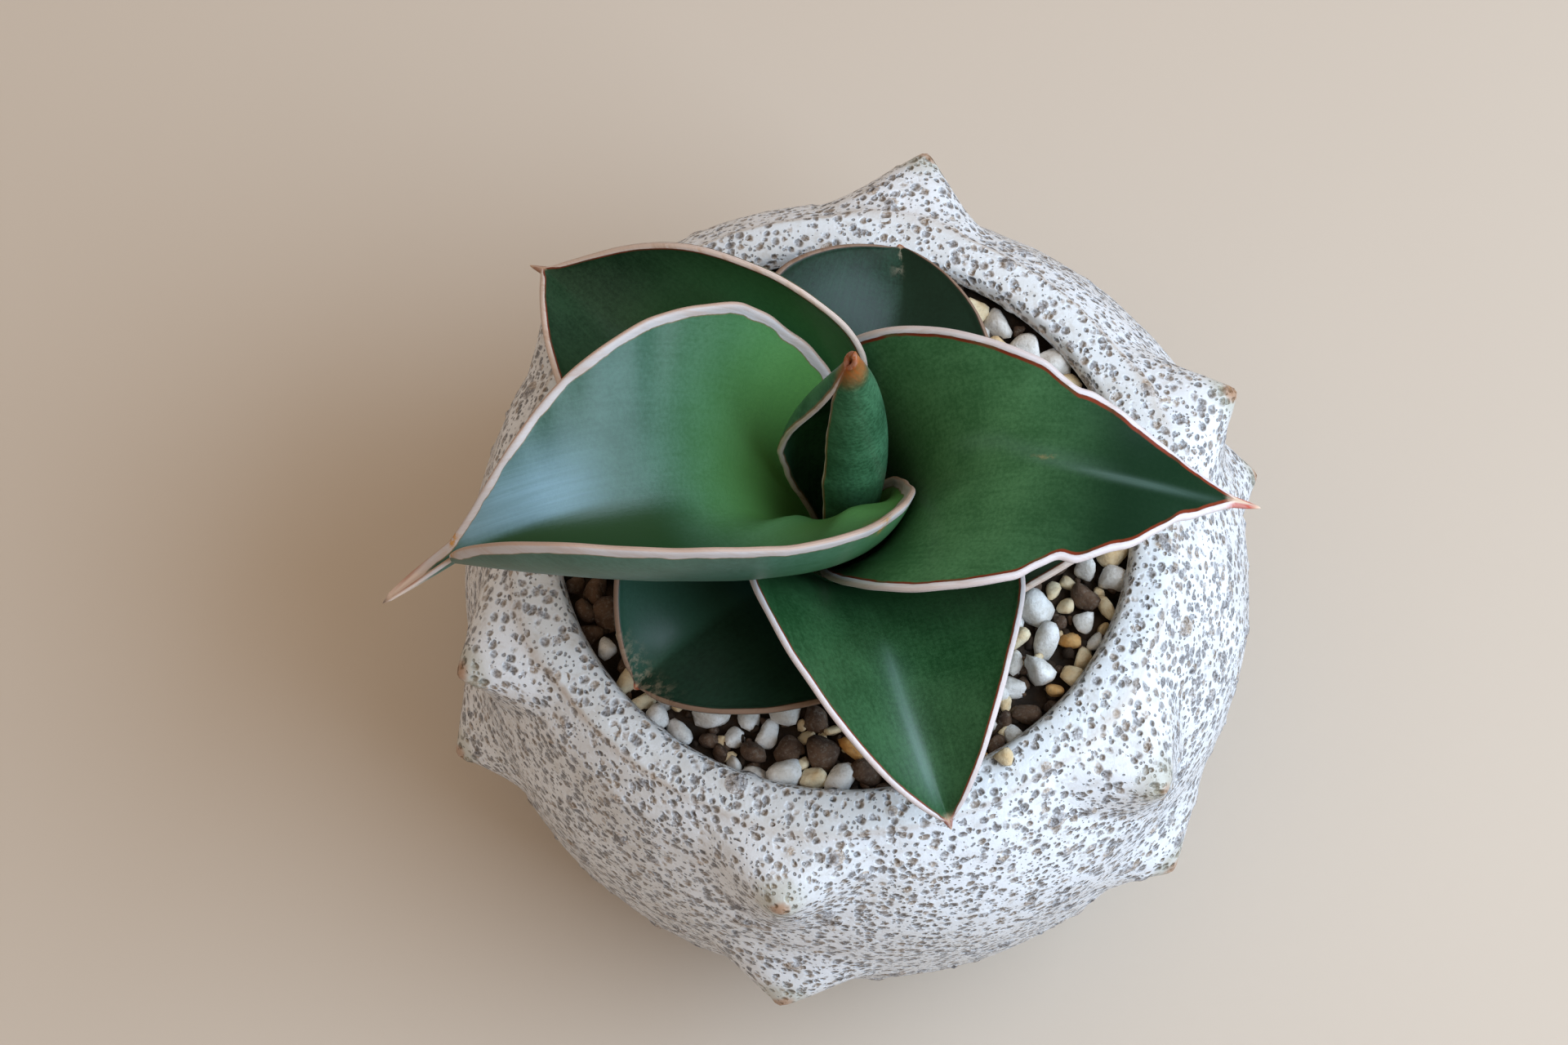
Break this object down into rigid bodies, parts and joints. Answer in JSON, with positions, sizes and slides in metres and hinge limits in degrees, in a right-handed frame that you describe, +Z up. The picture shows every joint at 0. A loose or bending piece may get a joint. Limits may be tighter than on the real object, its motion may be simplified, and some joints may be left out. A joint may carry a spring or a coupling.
{
  "type": "potted snake plant",
  "caption": "Dwarf rosette snake plant with thick channelled, spine-tipped leaves in a round stoneware pot with blunt horns and a pitted pale glaze.",
  "frame": {"origin": "middle of the pot's foot, on the surface that the pot stands on, straight below the middle of the pot's mouth", "axes": "+Z up out of the pot's mouth, +X to the right and +Y away from the front as the plant is seen in its main view"},
  "size_m": [0.138, 0.1363, 0.1358],
  "materials": {
    "pot_glaze": "satin glaze with open pits",
    "potting_mix": "matt, dry",
    "stem": "matt",
    "leaf": "satin, waxy"
  },
  "bodies": {
    "root": {"pot": "pot_glaze", "potting_mix": "potting_mix", "crown": "stem", "leaf_centre": "leaf", "leaf_left": "leaf", "leaf_right": "leaf", "leaf_back_left": "leaf", "leaf_front": "leaf", "leaf_back": "leaf", "leaf_front_left": "leaf", "leaf_right_low": "leaf"}
  },
  "joints": []
}
